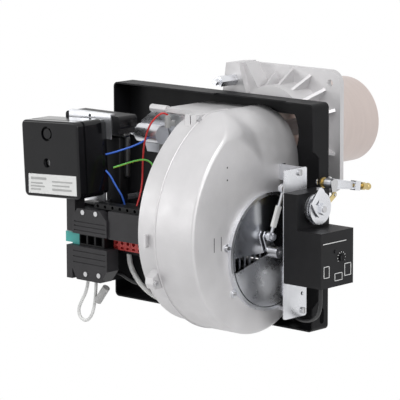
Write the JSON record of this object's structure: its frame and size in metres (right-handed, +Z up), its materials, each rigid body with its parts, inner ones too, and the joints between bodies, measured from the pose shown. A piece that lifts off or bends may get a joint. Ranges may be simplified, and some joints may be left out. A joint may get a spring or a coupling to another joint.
{
  "type": "industrial gas burner",
  "caption": "Forced draught gas burner: fan scroll with blast tube, slotted air damper linked to a servomotor and a gas valve lever, and a control box on a sheet metal tray.",
  "frame": {"origin": "centre of the four bolt holes in the flange's boiler side face, on the axis of the blast tube", "axes": "+Y along the blast tube into the boiler, +Z up, +X towards the air intake and servomotor side"},
  "size_m": [0.4051, 0.3538, 0.327],
  "materials": {
    "black_paint": "satin black paint",
    "cast_aluminium": "rough die-cast",
    "motor_paint": "satin paint",
    "tube_steel": "brushed",
    "gas_pipe_steel": "galvanised",
    "ceramic": "glazed",
    "zinc": "bright zinc plated",
    "galvanised": "bright galvanised sheet",
    "yellow_zinc": "yellow passivated zinc",
    "screw_steel": "zinc plated",
    "brass": "machined",
    "white_plastic": "moulded",
    "black_plastic": "moulded",
    "cover_plastic": "moulded",
    "cam_plastic": "moulded",
    "gloss_black": "glossy",
    "red_plastic": "moulded",
    "teal_plastic": "moulded",
    "grey_plastic": "moulded",
    "white_cable": "sheath",
    "black_cable": "sheath",
    "red_cable": "sheath",
    "blue_cable": "sheath",
    "green_cable": "sheath"
  },
  "bodies": {
    "burner": {"mounting_tray": "black_paint", "hinge_bar": "cast_aluminium", "burner_flange": "cast_aluminium", "fan_housing_intake": "cast_aluminium", "fan_housing_motor_side": "cast_aluminium", "motor_housing": "motor_paint", "blast_tube": "tube_steel", "diffuser_disc": "tube_steel", "gas_pipe": "gas_pipe_steel", "electrodes": "ceramic", "console_plate": "zinc", "switch_bracket": "zinc", "servo_bracket": "zinc", "flange_stud": "zinc", "intake_ring": "zinc", "air_pressure_switch": "zinc", "intake_disc": "galvanised", "housing_screws": "screw_steel", "bracket_fixings": "screw_steel", "cover_screws": "screw_steel", "gas_shaft_bush": "brass", "servo_housing": "black_plastic", "servo_faceplate": "black_plastic", "terminal_base": "black_plastic", "ignition_transformer": "black_plastic", "terminal_cover": "cover_plastic", "upper_plug": "cover_plastic", "lower_plug": "cover_plastic", "control_box_cover": "gloss_black", "control_box_base": "gloss_black", "red_terminals": "red_plastic", "plug_latches": "teal_plastic", "wire_connectors": "grey_plastic", "white_loop_cable": "white_cable", "mains_cable": "white_cable", "black_cable": "black_cable", "servo_cable": "black_cable", "red_wire": "red_cable", "blue_wire": "blue_cable", "blue_lead": "blue_cable", "earth_wire": "green_cable"},
    "fan": {"fan_wheel": "screw_steel", "motor_shaft": "screw_steel"},
    "damper": {"damper_shaft": "screw_steel", "damper_blade": "zinc", "damper_stud": "zinc"},
    "servo_output": {"servo_shaft": "screw_steel", "servo_crank": "zinc", "switching_cams": "zinc", "cam_plate": "zinc", "servo_lever": "yellow_zinc", "servo_lever_stud": "zinc"},
    "tie_rod": {"rod_ends": "zinc", "tie_rod_sleeve": "white_plastic"},
    "drive_link": {"drive_link": "yellow_zinc"},
    "gas_arm": {"gas_shaft": "screw_steel", "gas_lever": "zinc", "gas_ball_rod": "brass"},
    "reset_button": {"reset_button": "cam_plastic"},
    "servo_knob": {"servo_knob": "cam_plastic"}
  },
  "joints": [
    {"name": "fan_spin", "type": "hinge", "parent": "burner", "child": "fan", "pos_m": [0, -0.111, -0.141], "axis": [1, 0, 0], "continuous": true},
    {"name": "servo_turn", "type": "hinge", "parent": "burner", "child": "servo_output", "pos_m": [0.09, -0.1, -0.08], "axis": [1, 0, 0], "range_deg": [-16, 74]},
    {"name": "damper_turn", "type": "hinge", "parent": "burner", "child": "damper", "pos_m": [0.053, -0.111, -0.141], "axis": [1, 0, 0], "range_deg": [-16, 74]},
    {"name": "tie_rod_pivot", "type": "hinge", "parent": "servo_output", "child": "tie_rod", "pos_m": [0.0715, -0.108, -0.0595], "axis": [1, 0, 0], "range_deg": [-74, 16]},
    {"name": "drive_link_pivot", "type": "hinge", "parent": "servo_output", "child": "drive_link", "pos_m": [0.116, -0.1011, -0.093], "axis": [1, 0, 0], "range_deg": [-74, 16]},
    {"name": "gas_arm_turn", "type": "hinge", "parent": "burner", "child": "gas_arm", "pos_m": [0.1, -0.061, -0.055], "axis": [1, 0, 0], "range_deg": [-16, 74]},
    {"name": "reset_press", "type": "slide", "parent": "burner", "child": "reset_button", "axis": [0, 1, 0], "range_m": [0, 0.0025], "stiffness_N_per_m": 400},
    {"name": "servo_knob_turn", "type": "hinge", "parent": "burner", "child": "servo_knob", "pos_m": [0.152, -0.092, -0.139], "axis": [1, 0, 0], "range_deg": [-60, 60]}
  ],
  "couplings": [
    {"joint": "damper_turn", "follows": "servo_turn", "ratio": 1},
    {"joint": "gas_arm_turn", "follows": "servo_turn", "ratio": 1},
    {"joint": "tie_rod_pivot", "follows": "servo_turn", "ratio": -1},
    {"joint": "drive_link_pivot", "follows": "servo_turn", "ratio": -1}
  ]
}
